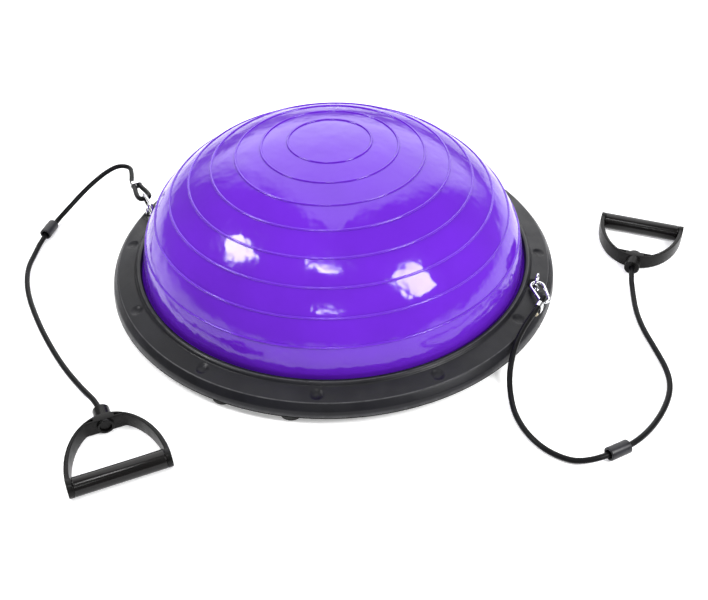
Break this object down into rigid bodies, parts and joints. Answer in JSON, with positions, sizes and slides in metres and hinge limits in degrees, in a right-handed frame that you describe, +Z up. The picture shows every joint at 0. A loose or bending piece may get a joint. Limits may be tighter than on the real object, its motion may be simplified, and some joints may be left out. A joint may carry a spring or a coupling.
{
  "type": "balance dome trainer",
  "caption": "Inflated ribbed half dome clamped in a round black base, with an elastic cord, snap hook and D-handle on each side.",
  "frame": {"origin": "on the dome axis, in the plane of the underside of the feet", "axes": "+Z up along the dome axis, X through the two anchor eyes with +X to the right anchor"},
  "size_m": [0.8959, 0.7738, 0.2042],
  "materials": {
    "shell_black": "fine satin texture",
    "dome_purple": "glossy soft PVC",
    "plug_white": "satin",
    "foot_rubber": "matt",
    "screw_steel": "zinc plated",
    "bright_steel": "bright zinc",
    "crimp_steel": "bright",
    "cord_black": "satin latex skin",
    "sleeve_grey": "satin",
    "handle_black": "satin moulded",
    "grip_black": "smooth semi-gloss"
  },
  "bodies": {
    "base": {"base_tray": "shell_black", "rim_ring": "shell_black", "rim_screws": "screw_steel", "foot_1": "foot_rubber", "foot_2": "foot_rubber", "foot_3": "foot_rubber", "foot_4": "foot_rubber", "foot_5": "foot_rubber", "foot_6": "foot_rubber", "dome_bladder": "dome_purple", "left_anchor_eye": "bright_steel", "left_anchor_washer": "bright_steel", "left_anchor_nut": "bright_steel", "right_anchor_eye": "bright_steel", "right_anchor_washer": "bright_steel", "right_anchor_nut": "bright_steel"},
    "valve": {"valve_plug": "plug_white"},
    "left_band": {"left_hook_frame": "bright_steel", "left_gate_rivet": "bright_steel", "left_cord": "cord_black", "left_crimp": "crimp_steel", "left_cord_stop": "handle_black"},
    "left_gate": {"left_hook_gate": "bright_steel", "left_gate_spring": "bright_steel"},
    "left_sleeve": {"left_sleeve": "sleeve_grey"},
    "left_handle": {"left_handle_frame": "handle_black"},
    "left_grip": {"left_grip_tube": "grip_black"},
    "right_band": {"right_hook_frame": "bright_steel", "right_gate_rivet": "bright_steel", "right_cord": "cord_black", "right_crimp": "crimp_steel", "right_cord_stop": "handle_black"},
    "right_gate": {"right_hook_gate": "bright_steel", "right_gate_spring": "bright_steel"},
    "right_sleeve": {"right_sleeve": "sleeve_grey"},
    "right_handle": {"right_handle_frame": "handle_black"},
    "right_grip": {"right_grip_tube": "grip_black"}
  },
  "joints": [
    {"name": "valve_plug_pull", "type": "slide", "parent": "base", "child": "valve", "axis": [0, 0.9816, 0.1912], "range_m": [0, 0.025]},
    {"name": "left_band_swing", "type": "hinge", "parent": "base", "child": "left_band", "pos_m": [-0.279, 0, 0.0395], "axis": [0, 0, 1], "range_deg": [-12, 12]},
    {"name": "left_gate_hinge", "type": "hinge", "parent": "left_band", "child": "left_gate", "pos_m": [-0.28847, 0.00966, 0.05473], "axis": [0.7141, 0.7001, 0], "range_deg": [0, 12], "stiffness_Nm_per_rad": 0.02, "springref_deg": -20.05},
    {"name": "left_sleeve_slide", "type": "slide", "parent": "left_band", "child": "left_sleeve", "axis": [0.0958, -0.9954, 0], "range_m": [-0.006, 0.006]},
    {"name": "left_handle_swivel", "type": "hinge", "parent": "left_band", "child": "left_handle", "pos_m": [-0.16612, -0.35092, 0.0112], "axis": [-0.6561, 0.7547, 0], "continuous": true},
    {"name": "left_grip_spin", "type": "hinge", "parent": "left_handle", "child": "left_grip", "pos_m": [-0.0992, -0.4279, 0.0112], "axis": [0.7547, 0.6561, 0], "continuous": true},
    {"name": "right_band_swing", "type": "hinge", "parent": "base", "child": "right_band", "pos_m": [0.279, 0, 0.0395], "axis": [0, 0, 1], "range_deg": [0, 12]},
    {"name": "right_gate_hinge", "type": "hinge", "parent": "right_band", "child": "right_gate", "pos_m": [0.29749, -0.02394, 0.0365], "axis": [0, 0, 1], "range_deg": [0, 22], "stiffness_Nm_per_rad": 0.02, "springref_deg": -20.05},
    {"name": "right_sleeve_slide", "type": "slide", "parent": "right_band", "child": "right_sleeve", "axis": [0.7071, 0.7071, 0], "range_m": [-0.006, 0.003]},
    {"name": "right_handle_swivel", "type": "hinge", "parent": "right_band", "child": "right_handle", "pos_m": [0.39374, 0.10046, 0.0112], "axis": [-0.0349, -0.9994, 0], "continuous": true},
    {"name": "right_grip_spin", "type": "hinge", "parent": "right_handle", "child": "right_grip", "pos_m": [0.3973, 0.2024, 0.0112], "axis": [-0.9994, 0.0349, 0], "continuous": true}
  ]
}
